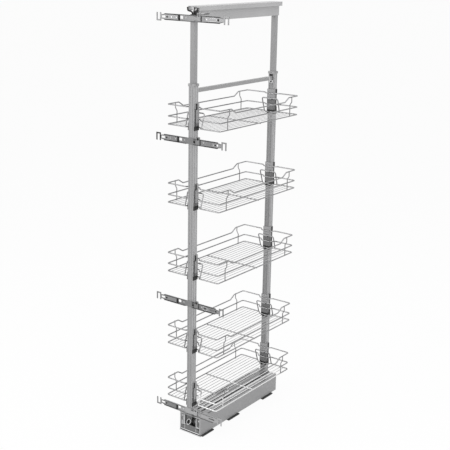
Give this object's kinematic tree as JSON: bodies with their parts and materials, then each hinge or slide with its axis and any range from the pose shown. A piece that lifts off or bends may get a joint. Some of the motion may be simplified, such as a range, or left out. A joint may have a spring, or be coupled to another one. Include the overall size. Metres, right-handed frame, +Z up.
{
  "type": "pull-out larder unit",
  "caption": "Tall pull-out larder frame: a sliding base and height-adjustable posts carry hanging wire baskets and door brackets, guided at the top by a fixed rail.",
  "frame": {"origin": "on the floor, below the middle of the carriage's front edge", "axes": "+X to the unit's right as seen from the front, +Y to the back of the cabinet, +Z up; the unit pulls out along -Y"},
  "size_m": [0.342, 0.5735, 1.743],
  "materials": {
    "painted_steel": "satin silver-grey lacquer",
    "base_steel": "zinc plated",
    "slide_steel": "zinc plated, rolled",
    "bracket_steel": "zinc plated, pressed",
    "wire": "bright plated",
    "black_plastic": "fine matte grain",
    "grey_plastic": "satin moulded, silver grey",
    "feet": "matte grain"
  },
  "bodies": {
    "cabinet_base": {"foot_front": "feet", "foot_middle": "feet", "foot_rear": "feet", "floor_pan": "base_steel", "slide_left_fixed": "slide_steel", "slide_right_fixed": "slide_steel", "soft_close_housing": "black_plastic", "soft_close_damper": "base_steel", "soft_close_catch": "base_steel"},
    "slide_middle": {"slide_left_middle": "slide_steel", "slide_right_middle": "slide_steel"},
    "carriage": {"carriage_box": "painted_steel", "slide_left_moving": "slide_steel", "slide_right_moving": "slide_steel", "front_post": "painted_steel", "rear_post": "painted_steel", "front_post_shoe": "base_steel", "rear_post_shoe": "base_steel", "front_collar": "painted_steel", "rear_collar": "painted_steel", "front_lock_screw": "base_steel", "rear_lock_screw": "base_steel", "cross_bar": "painted_steel", "hook_1_front": "grey_plastic", "hook_1_rear": "grey_plastic", "hook_2_front": "grey_plastic", "hook_2_rear": "grey_plastic", "hook_3_front": "grey_plastic", "hook_3_rear": "grey_plastic", "hook_4_front": "grey_plastic", "hook_4_rear": "grey_plastic", "hook_5_front": "grey_plastic", "hook_5_rear": "grey_plastic", "bracket_2_bar": "bracket_steel", "bracket_2_clamp": "bracket_steel", "bracket_3_bar": "bracket_steel", "bracket_3_clamp": "bracket_steel", "bracket_4_bar": "bracket_steel", "bracket_4_clamp": "bracket_steel"},
    "upper_frame": {"front_inner_tube": "painted_steel", "rear_inner_tube": "painted_steel", "top_beam": "painted_steel", "top_guide": "black_plastic", "top_guide_rear": "black_plastic", "bracket_1_bar": "bracket_steel", "bracket_1_clamp": "bracket_steel"},
    "top_rail": {"top_rail": "painted_steel"},
    "basket_1": {"basket_1": "wire"},
    "basket_2": {"basket_2": "wire"},
    "basket_3": {"basket_3": "wire"},
    "basket_4": {"basket_4": "wire"},
    "basket_5": {"basket_5": "wire"},
    "bracket_1_arm_left": {"bracket_1_arm_left": "bracket_steel"},
    "bracket_1_arm_right": {"bracket_1_arm_right": "bracket_steel"},
    "bracket_2_arm_left": {"bracket_2_arm_left": "bracket_steel"},
    "bracket_2_arm_right": {"bracket_2_arm_right": "bracket_steel"},
    "bracket_3_arm_left": {"bracket_3_arm_left": "bracket_steel"},
    "bracket_3_arm_right": {"bracket_3_arm_right": "bracket_steel"},
    "bracket_4_arm_left": {"bracket_4_arm_left": "bracket_steel"},
    "bracket_4_arm_right": {"bracket_4_arm_right": "bracket_steel"}
  },
  "joints": [
    {"name": "pull_out", "type": "slide", "parent": "cabinet_base", "child": "carriage", "axis": [0, -1, 0], "range_m": [0, 0.5]},
    {"name": "slide_follow", "type": "slide", "parent": "cabinet_base", "child": "slide_middle", "axis": [0, -1, 0], "range_m": [0, 0.25]},
    {"name": "height_adjust", "type": "slide", "parent": "carriage", "child": "upper_frame", "axis": [0, 0, 1], "range_m": [-0.2, 0.12]},
    {"name": "top_rail_slide", "type": "slide", "parent": "upper_frame", "child": "top_rail", "axis": [0, 1, 0], "range_m": [0, 0.5]},
    {"name": "basket_1_lift", "type": "slide", "parent": "carriage", "child": "basket_1", "axis": [0, 0, 1], "range_m": [0, 0.012]},
    {"name": "basket_2_lift", "type": "slide", "parent": "carriage", "child": "basket_2", "axis": [0, 0, 1], "range_m": [0, 0.012]},
    {"name": "basket_3_lift", "type": "slide", "parent": "carriage", "child": "basket_3", "axis": [0, 0, 1], "range_m": [0, 0.012]},
    {"name": "basket_4_lift", "type": "slide", "parent": "carriage", "child": "basket_4", "axis": [0, 0, 1], "range_m": [0, 0.012]},
    {"name": "basket_5_lift", "type": "slide", "parent": "carriage", "child": "basket_5", "axis": [0, 0, 1], "range_m": [0, 0.012]},
    {"name": "bracket_1_reach_left", "type": "slide", "parent": "upper_frame", "child": "bracket_1_arm_left", "axis": [-1, 0, 0], "range_m": [-0.015, 0.02]},
    {"name": "bracket_1_reach_right", "type": "slide", "parent": "upper_frame", "child": "bracket_1_arm_right", "axis": [1, 0, 0], "range_m": [-0.015, 0.02]},
    {"name": "bracket_2_reach_left", "type": "slide", "parent": "carriage", "child": "bracket_2_arm_left", "axis": [-1, 0, 0], "range_m": [-0.015, 0.02]},
    {"name": "bracket_2_reach_right", "type": "slide", "parent": "carriage", "child": "bracket_2_arm_right", "axis": [1, 0, 0], "range_m": [-0.015, 0.02]},
    {"name": "bracket_3_reach_left", "type": "slide", "parent": "carriage", "child": "bracket_3_arm_left", "axis": [-1, 0, 0], "range_m": [-0.015, 0.02]},
    {"name": "bracket_3_reach_right", "type": "slide", "parent": "carriage", "child": "bracket_3_arm_right", "axis": [1, 0, 0], "range_m": [-0.015, 0.02]},
    {"name": "bracket_4_reach_left", "type": "slide", "parent": "carriage", "child": "bracket_4_arm_left", "axis": [-1, 0, 0], "range_m": [-0.015, 0.02]},
    {"name": "bracket_4_reach_right", "type": "slide", "parent": "carriage", "child": "bracket_4_arm_right", "axis": [1, 0, 0], "range_m": [-0.015, 0.02]}
  ],
  "couplings": [
    {"joint": "slide_follow", "follows": "pull_out", "ratio": 0.5},
    {"joint": "top_rail_slide", "follows": "pull_out", "ratio": 1}
  ]
}
